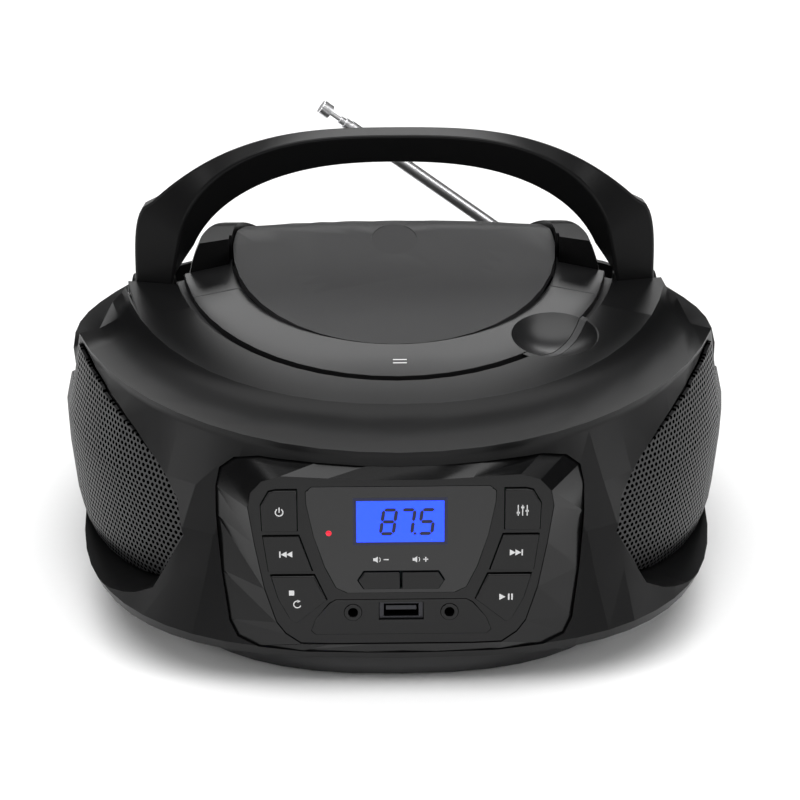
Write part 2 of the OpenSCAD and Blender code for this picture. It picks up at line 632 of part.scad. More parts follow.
// four corners of the section: front inner, front outer, back outer, back inner
handle_steps = 30;
leg_top = 11.5;
function corners(t) =
    let (f = arch(leg_in - 0.5, handle_h - 1, 2.85, t), o = outer_edge(t),
         i = arch(leg_in - 4, handle_h - handle_t, 2.32, t), up = sin(t))
    [[f.x, front_y, f.y], [o.x, front_y + 9 * up, o.y],
     [o.x * 0.985, pivot_y + 2.5 - 1.5 * up, o.y - (handle_t - 1) * up * up],
     [i.x, pivot_y - 1.5 - (pivot_y - 1.5 - front_y) * up * up * 0.4, i.y]];
function leg(s, z) =
    [[s * leg_in, front_y, z], [s * leg_out, front_y, z],
     [s * (leg_out - 0.6), pivot_y + 2.5, z], [s * leg_in, pivot_y - 1.5, z]];
module handle() color([0.09, 0.09, 0.095]) {
    arcs = [for (i = [0 : handle_steps]) corners(20 + 140 * i / handle_steps)];
    translate([0, 0, pivot_z]) difference() {
        union() {
            skin(concat([leg(-1, 0), leg(-1, leg_top)], arcs, [leg(1, leg_top), leg(1, 0)]));
            for (s = [-1, 1]) translate([s * (leg_in + leg_w / 2), pivot_y, 0]) rotate([0, 90, 0])
                cylinder(r = 10.8, h = leg_w - 0.2, center = true, $fn = 48);
        }
        for (s = [-1, 1]) translate([s * (leg_in + leg_w / 2), pivot_y, 0]) rotate([0, 90, 0])
            cylinder(r = pivot_r + near, h = 60, center = true, $fn = 48);
    }
}
module skin(sections) {
    n = len(sections[0]);
    m = len(sections);
    points = [for (s = sections) each s];
    sides = [for (j = [0 : m - 2], i = [0 : n - 1]) let (k = (i + 1) % n)
        each [[j * n + i, (j + 1) * n + k, (j + 1) * n + i], [j * n + i, j * n + k, (j + 1) * n + k]]];
    polyhedron(points, concat(sides, [[2, 1, 0], [3, 2, 0],
        [(m - 1) * n, (m - 1) * n + 1, (m - 1) * n + 2], [(m - 1) * n, (m - 1) * n + 2, (m - 1) * n + 3]]));
}
module handle_pins() color([0.6, 0.6, 0.62])
    for (s = [-1, 1]) translate([s * (leg_in + leg_w / 2), pivot_y, pivot_z]) rotate([0, 90, 0])
        cylinder(r = pivot_r, h = leg_w + 9, center = true, $fn = 48);

// ---------- front panel ----------
module front_bezel() color([0.02, 0.02, 0.02]) on_panel()
    band([[for (p = bezel_out) [p.x, p.y, 0.6 - wall_depth(p.x, p.y)]],
        [for (p = bezel_in) [p.x, p.y, 0.8]],
        [for (p = bezel_in) [p.x, p.y, -3]],
        [for (p = bezel_out) [p.x, p.y, -4 - wall_depth(p.x, p.y)]]]);
module control_panel() color([0.05, 0.05, 0.055]) on_panel() {
    difference() {
        translate([0, 0, -2.2]) linear_extrude(2.2) polygon(grow(bezel_in, -fit, 35));
        translate([0, 0, -5]) linear_extrude(10) for (k = [0 : 5]) offset(delta = run / 2) polygon(keys[k]);
        translate([0, 0, -5]) linear_extrude(10) polygon(grow(window, fit, 45));
        translate([0, 0, -5]) linear_extrude(10) polygon(grow(ports, fit, 15));
    }
    // posts that hold the key board
    for (s = [-1, 1], v = [[24, 65.8], [29, 31.9], [36.5, 9.5]])
        translate([s * v.x, v.y, board_w + board_t]) cylinder(r = 0.6, h = -2.2 - board_w - board_t, $fn = 24);
}
module display_window() color([0.01, 0.01, 0.02]) on_panel(-1) difference() {
    linear_extrude(1.3) polygon(window);
    translate([0, 0, -1]) linear_extrude(5) for (k = [6, 7]) offset(delta = run / 2) polygon(keys[k]);
}
module lcd_module() color([0.1, 0.25, 1]) on_panel(board_w + board_t)
    translate([-19, 41, 0]) cube([38, 21, 5.3]);
module power_led() color([0.8, 0.05, 0.1]) on_panel(board_w + board_t)
    translate([led_at.x, led_at.y, 0]) cylinder(r = 1.5, h = 5.3, $fn = 32);
module port_panel() color([0.03, 0.03, 0.035]) on_panel(-2) difference() {
    linear_extrude(2.4) polygon(ports);
    for (s = [-1, 1]) translate([s * jack_x, jack_v, -1]) cylinder(r = 3.2, h = 5, $fn = 48);
    translate([-8.1, usb_v - 3.4, -1]) cube([16.2, 6.8, 5]);
}
module jacks() color([0.05, 0.05, 0.05]) on_panel() for (s = [-1, 1]) difference() {
    union() {
        translate([s * jack_x, jack_v, -14]) cylinder(r = 3.1, h = 14.8, $fn = 48);
        translate([s * jack_x - 4, jack_v - 4, -14]) cube([8, 8, 11.8]);
    }
    translate([s * jack_x, jack_v, -12.5]) cylinder(r = jack_r, h = 20, $fn = 48);
}
module usb_socket() color([0.7, 0.7, 0.72]) on_panel() {
    difference() {
        translate([-8, usb_v - 3.3, -14]) cube([16, 6.6, 13]);
        translate([-6.3, usb_v - 2.4, -12.5]) cube([12.6, 4.8, 20]);
    }
    translate([-5.6, usb_v - 0.2, -13]) cube([11.2, 1.8, 11.4]);
}
module key_board() color([0.1, 0.35, 0.2]) on_panel(board_w) difference() {
    linear_extrude(board_t) polygon(grow(bezel_in, -1.2, 35));
    translate([-30, 0, -1]) cube([60, 22.6, 4]);
}
module key_switches() color([0.3, 0.3, 0.3]) on_panel(board_w + board_t)
    for (k = keys) translate([middle(k).x - 3, middle(k).y - 3, 0]) cube([6, 6, 2.6 - key_travel]);
module main_board() color([0.1, 0.35, 0.2]) {
    translate([-50, -94, 14]) cube([100, 62, 1.6]);
    translate([-20, -80, 15.6]) cube([14, 14, 2]);
    for (x = [8, 20, 32]) translate([x, -50, 15.6]) cylinder(r = 4, h = 9, $fn = 32);
    translate([-42, -60, 15.6]) cube([10, 18, 14]);
}

// ---------- speakers ----------
speaker_run = 18;     // along the cabinet from the side frame's axis, to the back positive
speaker_z = 55;
baffle_x = half_w - 29;
module at_speaker(s) side_frame(s) translate([baffle_x, speaker_run, speaker_z]) rotate([0, 90, 0]) children();
module grille_form(d) {
    g = half_w + 6.5 - d;
    loft([section(g - 7, -half_d + 13 + d, half_d - 20, 2.3, 14),
        section(g - 3, -half_d + 9 + d, half_d - 20, 2.3, 30),
        section(g - 0.6, -half_d + 9 + d, half_d - 20, 2.2, 50),
        section(g - 0.2, -half_d + 10 + d, half_d - 20, 2.2, 64),
        section(g - 2.4, -half_d + 13 + d, half_d - 20, 2.15, 84),
        section(g - 5.5, -half_d + 17 + d, half_d - 20, 2.1, 102)]);
}
module grille(s) color([0.13, 0.13, 0.13]) difference() {
    intersection() {
        grille_form(0);
        side_frame(s) opening_prism(1.6);
    }
    grille_form(1.2);
    lip_cut();
}
module lip_cut() {
    difference() {
        translate([-300, -300, lip_h - 8]) cube([600, 600, 60]);
        loft([lip_ring(1.2, lip_h - 30), lip_ring(1.2, lip_h - 2.6)]);
    }
}
module speaker_trim(s) color([0.03, 0.03, 0.03]) {
    intersection() {
        side_frame(s) difference() {
            opening_prism(fit, baffle_x);
            opening_prism(1.4, baffle_x - 1);
        }
        grille_form(1.4);
        loft(concat([section(half_w - 2, -half_d + 2, half_d - 2, 3.3, 5)],
            [section(half_w - 1, -half_d + 1, half_d - 2, 3.3, 20),
             section(half_w + 1, -half_d + 6.5, half_d - 4, 2.6, parting_z),
             section(half_w + 0.2, -half_d + 10, half_d - 10, 2.1, 90),
             section(half_w - 3, -half_d + 14, half_d - 14, 2.05, 102)]));
    }
    side_frame(s) difference() {
        intersection() {
            opening_prism(fit, baffle_x, 2.4);
            translate([baffle_x - 1, -100, 0]) cube([10, 200, 97]);
        }
        translate([baffle_x - 1, speaker_run, speaker_z]) rotate([0, 90, 0])
            cylinder(r = speaker_r - 4, h = 10, $fn = 64);
    }
}
module speaker(s) color([0.35, 0.35, 0.36]) at_speaker(s) difference() {
    rotate_extrude($fn = 64)
        polygon([[0, -30], [24, -30], [24, -20], [18, -18], [speaker_r - 7, -3], [speaker_r, -2], [speaker_r, 0],
            [speaker_r - 5, 0], [speaker_r - 8, -2], [14, -16], [14, -18], [0, -18]]);
}
module cone(s) color([0.05, 0.05, 0.05]) at_speaker(s)
    rotate_extrude($fn = 64)
        polygon([[0, -10], [7, -9.5], [10, -14], [speaker_r - 9, -1], [speaker_r - 5.3, 0.6], [speaker_r - 5.3, 1.4],
            [speaker_r - 9, 0], [10, -12.6], [8, -8.5], [0, -9]]);

// ---------- power ----------
module transformer() color([0.5, 0.4, 0.3]) {
    translate([-92, 42, 4]) cube([44, 12, 34]);
    translate([-86, 38, 9]) cube([32, 20, 24]);
    translate([-92, 42, 4]) cube([44, 23.5, 2]);
}
module mains_inlet() color([0.05, 0.05, 0.05]) {
    // the block follows the cabinet wall, the two-pin socket sits in a flat recess
    difference() {
        intersection() {
            translate([inlet_x - 12, half_d - 34, inlet_z - 8]) cube([24, 60, 16]);
            lower_form(0.3);
        }
        translate([inlet_x - 10.4, half_d - 13, inlet_z - 6.4]) cube([20.8, 60, 12.8]);
        for (s = [-1, 1]) translate([inlet_x + s * 4.2, half_d - 29, inlet_z]) rotate([-90, 0, 0])
            cylinder(r = 4.6, h = 30, $fn = 32);
        translate([inlet_x - 4.2, half_d - 29, inlet_z - 4.6]) cube([8.4, 30, 9.2]);
    }
    for (s = [-1, 1]) translate([inlet_x + s * 4.3, half_d - 30, inlet_z]) rotate([-90, 0, 0])
        cylinder(r = 1.2, h = 13, $fn = 24);
}
module battery_box() color([0.07, 0.07, 0.07]) difference() {
    union() {
        translate([-bay_w / 2 - wall, bay_y0, bay_z0]) cube([bay_w + 2 * wall, bay_y1 - bay_y0, bay_h + 2 * wall]);
        for (x = [-40, 40]) translate([x - 2, bay_y0 + 4, 4]) cube([4, 36, bay_z0 - 4]);
    }
    translate([-bay_w / 2, bay_y0 + wall, bay_z0 + wall]) cube([bay_w, 80, bay_h]);
    translate([-bay_w / 2 - 10, door_y, door_z]) rotate([0, 90, 0])
        cylinder(r = 1.2 + near, h = bay_w + 20, $fn = 24);
    translate([-bay_w / 2, bay_y1 - 3.5, bay_z0 - 1]) cube([bay_w, 10, bay_h + 2 * wall + 2]);
}
door_y = bay_y1 - 1.6;
door_z = bay_z0 + 2.2;
module battery_contacts() color([0.75, 0.72, 0.6])
    for (s = [-1, 1], y = [0, 1]) translate([s * bay_w / 2, bay_y0 + 16 + y * 26, bay_z0 + wall + bay_h / 2])
        rotate([0, -s * 90, 0]) {
            translate([0, 0, 0.25]) cylinder(r = 9, h = 0.5, $fn = 32, center = true);
            if (s * (y - 0.5) > 0) cylinder(r1 = 6, r2 = 3.5, h = 5, $fn = 32);
            else cylinder(r = 3, h = 1.6, $fn = 32);
        }
module battery_door() color([0.08, 0.08, 0.085]) {
    translate([-bay_w / 2 + run, door_y - 1.2, bay_z0 + 1]) cube([bay_w - 2 * run, 2.6, bay_h + 2 * wall - 1.6]);
    translate([-bay_w / 2 - 1.8, door_y, door_z]) rotate([0, 90, 0]) cylinder(r = 1.2, h = bay_w + 3.6, $fn = 24);
    for (s = [-1, 1]) translate([s * 20 - 4, door_y + 1.4, bay_z0 + bay_h - 3]) cube([8, 1, 3]);
}

// ---------- aerial ----------
module along_aerial() translate([aerial_x, aerial_y, aerial_z]) rotate([0, 180 + aerial_rise, 0]) children();
module rod(x0, x1, r, bore) rotate([0, 90, 0]) translate([0, 0, x0]) difference() {
    cylinder(r = r, h = x1 - x0, $fn = 48);
    if (bore > 0) translate([0, 0, -1]) cylinder(r = bore, h = x1 - x0 + 2, $fn = 48);
}
tube_end = aerial_len - 15.6;
module antenna_bracket() color([0.7, 0.7, 0.72])
    translate([aerial_x, aerial_y, aerial_z]) rotate([-90, 0, 0]) {
        translate([0, 0, -13]) cylinder(r = 2.5, h = 10.6, $fn = 32);
        translate([0, 0, -13]) cylinder(r = 3.8, h = 1.8, $fn = 32);
    }
module antenna_knuckle() color([0.75, 0.75, 0.77]) {
    translate([aerial_x, aerial_y, aerial_z]) rotate([-90, 0, 0]) difference() {
        translate([0, 0, -3.4]) cylinder(r = 5.4, h = 1.4, $fn = 48);
        translate([0, 0, -4]) cylinder(r = 2.5 + near, h = 3, $fn = 32);
    }
    along_aerial() for (s = [-1, 1]) {
        translate([-2.6, -2.2, s * 2.7 - 0.6]) cube([5.2, 4.8, 1.2]);
    }
    along_aerial() cylinder(r = 1, h = 6.4, center = true, $fn = 24);
}
module antenna_tube() color([0.85, 0.85, 0.87]) along_aerial() {
    rod(6, tube_end, aerial_r, aerial_r - 0.35);
    difference() {
        union() {
            translate([0, -1.7, -1.8]) cube([7, 3.4, 3.6]);
            cylinder(r = 1.9, h = 3.6, center = true, $fn = 32);
        }
        cylinder(r = 1 + near, h = 10, center = true, $fn = 24);
    }
}
module antenna_middle() color([0.85, 0.85, 0.87]) along_aerial()
    rod(9, tube_end + 3, aerial_r - 0.4, aerial_r - 1);
module antenna_inner() color([0.85, 0.85, 0.87]) along_aerial()
    rod(11, tube_end + 5.5, aerial_r - 1.05, 1.05);
module antenna_rod() color([0.85, 0.85, 0.87]) along_aerial() {
    rod(13, aerial_len - 4.5, 1, 0);
    rod(aerial_len - 5, aerial_len, aerial_r + 0.45, 0);
}

base_plate();
rubber_feet();
cabinet_screws();
lower_cabinet();
upper_cabinet();
cd_well();
cd_chassis();
cd_dampers();
sled_rails();
spindle_motor();
sled_motor();
front_bezel();
control_panel();
display_window();
lcd_module();
power_led();
port_panel();
usb_socket();
jacks();
key_board();
key_switches();
main_board();
grille(-1);  // grille_left
grille(1);  // grille_right
speaker_trim(-1);  // speaker_trim_left
speaker_trim(1);  // speaker_trim_right
speaker(-1);  // speaker_left
speaker(1);  // speaker_right
cone(-1);  // cone_left
cone(1);  // cone_right
transformer();
mains_inlet();
battery_box();
battery_contacts();
handle_pins();
lid_pins();
antenna_bracket();
ring_ends();
handle();
lid_ring();
lid_panel();
disc_clamp();
turntable();
laser_sled();
laser_lens();
sled_screw();
key_cap(keys[0]);  // power_key
key_cap(keys[1]);  // previous_key
key_cap(keys[2]);  // stop_key
key_cap(keys[3]);  // mode_key
key_cap(keys[4]);  // next_key
key_cap(keys[5]);  // play_key
key_cap(keys[6]);  // volume_down_key
key_cap(keys[7]);  // volume_up_key
battery_door();
antenna_knuckle();
antenna_tube();
antenna_middle();
antenna_inner();
antenna_rod();
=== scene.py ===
# %% [markdown]
# # A portable CD radio, dressed for the studio
# The solids come from the imported model, in metres, and never move. This lesson gives them their looks:
# satin black mouldings, a gloss control panel, a lit display, pierced speaker grilles and a chromed aerial.
# Every piece rides on the body that carries it.

# %% Load the frame
import json
import math

import bmesh
import bpy
from mathutils import Matrix, Vector


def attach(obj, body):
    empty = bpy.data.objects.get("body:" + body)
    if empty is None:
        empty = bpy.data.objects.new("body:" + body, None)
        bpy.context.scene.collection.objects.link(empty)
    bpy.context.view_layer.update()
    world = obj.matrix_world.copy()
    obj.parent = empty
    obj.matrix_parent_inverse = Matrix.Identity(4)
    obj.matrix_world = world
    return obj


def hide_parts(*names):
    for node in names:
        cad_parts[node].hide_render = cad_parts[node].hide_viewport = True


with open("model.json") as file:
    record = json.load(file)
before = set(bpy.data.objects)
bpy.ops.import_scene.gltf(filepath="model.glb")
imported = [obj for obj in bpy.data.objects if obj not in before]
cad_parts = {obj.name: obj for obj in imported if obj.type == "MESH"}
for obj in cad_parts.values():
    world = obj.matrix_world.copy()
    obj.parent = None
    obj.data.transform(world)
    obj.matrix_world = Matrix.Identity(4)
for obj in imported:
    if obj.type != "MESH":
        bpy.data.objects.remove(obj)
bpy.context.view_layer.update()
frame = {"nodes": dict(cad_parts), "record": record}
MM = 0.001

# %% [markdown]
# ## The control panel's own axes
# The panel leans back a little, so its pieces are placed in its own axes: x to the right, v up the panel,
# w out towards the user. One matrix turns those millimetres into the frame's metres. Building it from the
# lean angle keeps every icon and digit square to the panel, which typed world coordinates would not.

# %% Panel axes
PANEL_LEAN = math.atan(0.15)
PANEL_FOOT = Vector((0, -127.5, 16))
PANEL = (Matrix.Scale(MM, 4) @ Matrix.Translation(PANEL_FOOT)
         @ Matrix.Rotation(math.pi / 2 - PANEL_LEAN, 4, "X"))
print("panel leans", round(math.degrees(PANEL_LEAN), 1), "degrees")

# %% [markdown]
# ## Camera, floor and light
# The radio stands on a pale floor and is seen from the front, a little from above, through a long lens, as
# in a catalogue. A long lens keeps the round body from bulging. The light is a wide soft box overhead, a
# lower one behind that gives the deck its sheen, and two strips that draw the edges of the black sides.
# A dark object is shaped by what it reflects, so large dim boxes do more than one bright lamp.

# %% Camera
scene = bpy.context.scene
scene.view_settings.view_transform = "Standard"


def look(thing, place, target):
    """Stand a camera or lamp at a place and turn it towards a target."""
    thing.location = place
    thing.rotation_euler = (Vector(target) - Vector(place)).to_track_quat("-Z", "Y").to_euler()
    scene.collection.objects.link(thing)


camera = bpy.data.objects.new("camera", bpy.data.cameras.new("camera"))
camera.data.lens = 109.3
camera.data.sensor_width = 36
look(camera, (-0.0153, -0.8914, 0.4745), (0.00235, 0.0195, 0.0496))
scene.camera = camera
print("camera distance", round(camera.location.length, 3))


# %% Soft boxes
def soft_box(name, place, target, size, energy, shade=1.0):
    """A rectangular studio lamp; shade cools or warms it very slightly."""
    lamp = bpy.data.lights.new(name, "AREA")
    lamp.shape = "RECTANGLE"
    lamp.size, lamp.size_y = size
    lamp.energy = energy
    lamp.color = (1.0, 1.0, shade)
    look(bpy.data.objects.new(name, lamp), place, target)


floor_mesh = bpy.data.meshes.new("floor")
floor_mesh.from_pydata([(-6, -6, 0), (6, -6, 0), (6, 6, 0), (-6, 6, 0)], [], [(0, 1, 2, 3)])
floor = bpy.data.objects.new("floor", floor_mesh)
scene.collection.objects.link(floor)

soft_box("light_top", (0, -0.2, 2.0), (0, 0, 0), (2.6, 2.2), 62)
soft_box("light_back", (0, 1.5, 1.15), (0, 0, 0.1), (1.5, 0.5), 12)
soft_box("light_left", (-1.3, -0.5, 0.55), (0, 0, 0.07), (0.3, 1.0), 7)
soft_box("light_right", (1.3, -0.5, 0.55), (0, 0, 0.07), (0.3, 1.0), 7)
soft_box("light_front", (0.2, -1.6, 1.0), (0, 0, 0.08), (1.2, 0.35), 3.5)
print("five soft boxes")


# %% [markdown]
# ## A small kit for materials
# Every finish is a Principled shader whose roughness and bump come from noise in object space. Object space
# suits moulded plastic: the grain has one size in millimetres wherever it sits, and it needs no unwrapping.

# %% Material kit
def material(name):
    """A new node material and its Principled shader."""
    made = bpy.data.materials.new(name)
    made.use_nodes = True
    return made, made.node_tree.nodes["Principled BSDF"]


def node(tree, kind, **values):
    """Add a shader node and set its plain properties."""
    made = tree.nodes.new(kind)
    for key, value in values.items():
        setattr(made, key, value)
    return made


def grain(mat, shader, size_mm, rough, spread, bump):
    """Noise of one size in millimetres that varies roughness and lifts the surface a little."""
    tree = mat.node_tree
    coords = node(tree, "ShaderNodeTexCoord")
    noise = node(tree, "ShaderNodeTexNoise")
    noise.inputs["Scale"].default_value = 1 / (size_mm * MM)
    noise.inputs["Detail"].default_value = 3
    tree.links.new(coords.outputs["Object"], noise.inputs["Vector"])
    spread_map = node(tree, "ShaderNodeMapRange")
    spread_map.inputs["To Min"].default_value = rough - spread
    spread_map.inputs["To Max"].default_value = rough + spread
    tree.links.new(noise.outputs["Fac"], spread_map.inputs["Value"])
    tree.links.new(spread_map.outputs["Result"], shader.inputs["Roughness"])
    if bump:
        lift = node(tree, "ShaderNodeBump")
        lift.inputs["Strength"].default_value = bump
        lift.inputs["Distance"].default_value = 0.0002
        tree.links.new(noise.outputs["Fac"], lift.inputs["Height"])
        tree.links.new(lift.outputs["Normal"], shader.inputs["Normal"])
    return noise


def tint(mat, shader, noise, low, high):
    """Let the same noise move the colour between two close shades."""
    ramp = node(mat.node_tree, "ShaderNodeMix", data_type="RGBA")
    ramp.inputs["A"].default_value = (*low, 1)
    ramp.inputs["B"].default_value = (*high, 1)
    mat.node_tree.links.new(noise.outputs["Fac"], ramp.inputs["Factor"])
    mat.node_tree.links.new(ramp.outputs["Result"], shader.inputs["Base Color"])


def plastic(name, low, high, size_mm, rough, spread, bump, sheen=0.5):
    mat, shader = material(name)
    shader.inputs["Specular IOR Level"].default_value = sheen
    noise = grain(mat, shader, size_mm, rough, spread, bump)
    tint(mat, shader, noise, low, high)
    return mat


def grey(value):
    return (value, value, value * 1.05)


# %% [markdown]
# ## The finishes
# Satin black for the cabinet, a slightly softer sheen for the deck ring, a fine sparkling grain for the round
# lid panel, piano black for the control panel, a soft bright metal for the aerial. Base colours of black
# plastic lie under two per cent here, so the sheen and the roughness are what tell the pieces apart.

# %% Finishes
FINISH = {
    "body_black": plastic("satin_black", grey(0.0035), grey(0.0045), 0.35, 0.36, 0.05, 0.06, 0.16),
    "deck_ring": plastic("deck_satin", grey(0.007), grey(0.010), 0.35, 0.32, 0.05, 0.05, 0.34),
    "panel_texture": plastic("lid_grain", grey(0.008), grey(0.020), 0.28, 0.46, 0.12, 0.35, 0.26),
    "gloss_black": plastic("piano_black", grey(0.0025), grey(0.0035), 6.0, 0.12, 0.02, 0, 0.3),
    "window": plastic("window_gloss", grey(0.004), grey(0.005), 8.0, 0.04, 0.01, 0),
    "rubber": plastic("rubber", grey(0.02), grey(0.03), 0.5, 0.8, 0.08, 0.3),
    "board": plastic("circuit_board", (0.01, 0.08, 0.03), (0.015, 0.12, 0.05), 2.0, 0.4, 0.08, 0.05),
    "grey_plastic": plastic("grey_plastic", grey(0.05), grey(0.065), 0.5, 0.45, 0.06, 0.1),
    "inner_black": plastic("inner_black", grey(0.012), grey(0.018), 0.6, 0.5, 0.08, 0.15),
    "cone_paper": plastic("cone_paper", grey(0.012), grey(0.022), 1.2, 0.85, 0.08, 0.6),
    "core": plastic("transformer_core", (0.10, 0.07, 0.04), (0.16, 0.12, 0.08), 1.5, 0.5, 0.1, 0.3),
    "copper_red": plastic("speaker_frame", grey(0.10), grey(0.13), 1.0, 0.4, 0.08, 0.1),
}


def metal(name, colour, size_mm, rough, spread):
    mat, shader = material(name)
    shader.inputs["Metallic"].default_value = 1.0
    shader.inputs["Base Color"].default_value = (*colour, 1)
    grain(mat, shader, size_mm, rough, spread, 0.02)
    return mat


FINISH["steel"] = metal("bright_steel", (0.55, 0.56, 0.58), 1.5, 0.28, 0.08)
FINISH["chrome"] = metal("chrome", (0.86, 0.86, 0.87), 3.0, 0.34, 0.05)
FINISH["contact"] = metal("plated_contact", (0.75, 0.68, 0.45), 2.0, 0.25, 0.06)


def glowing(name, colour, strength):
    """A lit face: its own colour with an even glow, and noise in its roughness."""
    mat, shader = material(name)
    grain(mat, shader, 4.0, 0.25, 0.05, 0)
    shader.inputs["Base Color"].default_value = (*colour, 1)
    shader.inputs["Emission Color"].default_value = (*colour, 1)
    shader.inputs["Emission Strength"].default_value = strength
    return mat


FINISH["lcd_blue"] = glowing("display_blue", (0.008, 0.055, 1.0), 1.1)
FINISH["led_red"] = glowing("lamp_red", (0.9, 0.01, 0.03), 0.8)
PRINT = plastic("printed_white", (0.62, 0.62, 0.62), (0.72, 0.72, 0.72), 0.8, 0.5, 0.05, 0)
INK = plastic("segment_ink", (0.002, 0.004, 0.03), (0.003, 0.006, 0.04), 2.0, 0.3, 0.05, 0)
floor_paper = plastic("floor_paper", (0.90, 0.90, 0.90), (0.92, 0.92, 0.92), 3.0, 0.8, 0.05, 0)
floor_mesh.materials.append(floor_paper)
lens_mat, lens_shader = material("lens_glass")
lens_shader.inputs["Transmission Weight"].default_value = 1.0
grain(lens_mat, lens_shader, 3.0, 0.05, 0.02, 0)
FINISH["lens"] = lens_mat
BEZEL = plastic("bezel_gloss", grey(0.003), grey(0.004), 6.0, 0.24, 0.03, 0, 0.3)
SOCKET = metal("dark_socket", (0.05, 0.05, 0.055), 2.0, 0.35, 0.05)
print(len(FINISH), "finishes")

# %% [markdown]
# ## The speaker grilles
# Each grille is a thin plastic skin with hundreds of round holes in staggered rows. Cutting them as geometry
# would take a very dense mesh, so here they are a pattern in the finish: black and without sheen inside each
# circle, and that black is painted shade standing in for the dark inside of a real hole.
# The rows follow the turned side of the cabinet, and rows 0.866 of a pitch apart give even spacing.

# %% Pierced grilles
SPEAKER_TURN = math.radians(35)
HOLE_PITCH, HOLE_WIDTH = 2.3, 1.45
ROW_STEP = 0.866
GRILLE_SHEEN = 0.35


def pierce(mat, side, pitch_mm, hole_mm):
    """Rows of round holes across a speaker grille, laid out along the turned side of the cabinet; each hole is
    painted black as shade.
    """
    tree = mat.node_tree
    shader = tree.nodes["Principled BSDF"]

    def calc(kind, first, second=0.0):
        made = node(tree, "ShaderNodeMath", operation=kind)
        for slot_number, value in enumerate((first, second)):
            if isinstance(value, (int, float)):
                made.inputs[slot_number].default_value = value
            else:
                tree.links.new(value, made.inputs[slot_number])
        return made.outputs[0]

    coords = node(tree, "ShaderNodeTexCoord")
    turned = node(tree, "ShaderNodeVectorRotate", rotation_type="Z_AXIS")
    turned.inputs["Angle"].default_value = side * SPEAKER_TURN
    tree.links.new(coords.outputs["Object"], turned.inputs["Vector"])
    parts = node(tree, "ShaderNodeSeparateXYZ")
    tree.links.new(turned.outputs["Vector"], parts.inputs["Vector"])
    along = calc("DIVIDE", parts.outputs["Y"], pitch_mm * MM)
    rows = calc("DIVIDE", parts.outputs["Z"], pitch_mm * MM * ROW_STEP)
    row = calc("FLOOR", rows)
    shift = calc("MULTIPLY", calc("MODULO", row, 2.0), 0.5)
    across = calc("SUBTRACT", calc("FRACT", calc("ADD", along, shift)), 0.5)
    upward = calc("MULTIPLY", calc("SUBTRACT", calc("FRACT", rows), 0.5), ROW_STEP)
    reach = calc("SQRT", calc("ADD", calc("MULTIPLY", across, across), calc("MULTIPLY", upward, upward)))
    hole = calc("LESS_THAN", reach, hole_mm / pitch_mm / 2)
    # painted shade: inside each hole the colour is mixed to black, standing in for the dark inside of a real hole
    dark = node(tree, "ShaderNodeMix", data_type="RGBA")
    dark.inputs["B"].default_value = (0.0, 0.0, 0.0, 1)
    solid_colour = shader.inputs["Base Color"].links[0].from_socket
    tree.links.new(solid_colour, dark.inputs["A"])
    tree.links.new(hole, dark.inputs["Factor"])
    tree.links.new(dark.outputs["Result"], shader.inputs["Base Color"])
    tree.links.new(calc("MULTIPLY", calc("SUBTRACT", 1.0, hole), GRILLE_SHEEN), shader.inputs["Specular IOR Level"])
    return mat


GRILLE = {}
for side_name, side in (("left", -1), ("right", 1)):
    base = plastic("grille_" + side_name, grey(0.010), grey(0.014), 0.4, 0.42, 0.06, 0, GRILLE_SHEEN)
    GRILLE[side_name] = pierce(base, side, HOLE_PITCH, HOLE_WIDTH)
print("grille holes", HOLE_WIDTH, "mm wide,", HOLE_PITCH, "mm apart")

# %% [markdown]
# ## The shoulders behind the handle
# On the real radio the rim of the shell falls away behind the handle's legs. The solids keep a level rim, so
# the copies of the shell, the grilles and their trims are lowered there. One rule moves all five, so that they
# still meet: the drop grows outwards from the trough, backwards past the leg, and upwards from the parting line.

# %% Falling shoulders
SETTLED = ("upper_cabinet", "grille_left", "grille_right", "speaker_trim_left", "speaker_trim_right")
RIM_HALF_WIDTH, RIM_FRONT, RIM_BACK, RIM_Y = 130, 137.4, 97.5, 20
RIM_TOP, RIM_SETTLED, PARTING = 103.6, 81, 57
TROUGH_EDGE, RIDGE = 0.74, 0.83
DROP_START, DROP_LEAN, DROP_RUN = -3, 110, 10


def rim_height(y):
    """Height of the level rim of the solids."""
    return RIM_TOP - 0.0025 * (y - 19.5) ** 2 if y > 19.5 else RIM_TOP + 0.077 * (y - 19.5)


def ease(value):
    value = min(max(value, 0.0), 1.0)
    return value * value * (3 - 2 * value)


def settle_shoulder(mesh):
    """Lower the rim behind the handle's legs."""
    for vert in mesh.vertices:
        x, y, z = (value / MM for value in vert.co)
        reach = RIM_BACK if y > RIM_Y else RIM_FRONT
        outward = math.hypot(x / RIM_HALF_WIDTH, (y - RIM_Y) / reach)
        start = DROP_START - (outward - RIDGE) * DROP_LEAN
        drop = max(0.0, rim_height(y) - RIM_SETTLED) * ease((outward - TROUGH_EDGE) / 0.06)
        drop *= ease((y - start) / DROP_RUN)
        vert.co.z -= drop * min(max((z - PARTING) / 43, 0.0), 1.0) * MM


print("shoulders lowered on", len(SETTLED), "pieces")

# %% [markdown]
# ## From solid to moulding
# A solid from CAD has knife edges, and nothing moulded does. A copy of its mesh has its flat triangles joined
# back into faces, then a small bevel rounds each real edge and the curved faces are shaded smooth. The bevel
# catches the light along every edge, which is what makes plastic look moulded. The copy stands for the solid.

# %% Moulded copies
SLOT_OF = {part["node"]: part["material_slot"] for part in frame["record"]["subparts"]}
BODY_OF = {name: body for body, names in frame["record"]["behaviour"]["bodies"].items() for name in names}
SHARP = math.radians(32)


def smooth_edges(mesh, angle=SHARP):
    """Shade smooth, but keep edges sharper than the angle."""
    mesh.shade_smooth()
    mesh.set_sharp_from_angle(angle=angle)


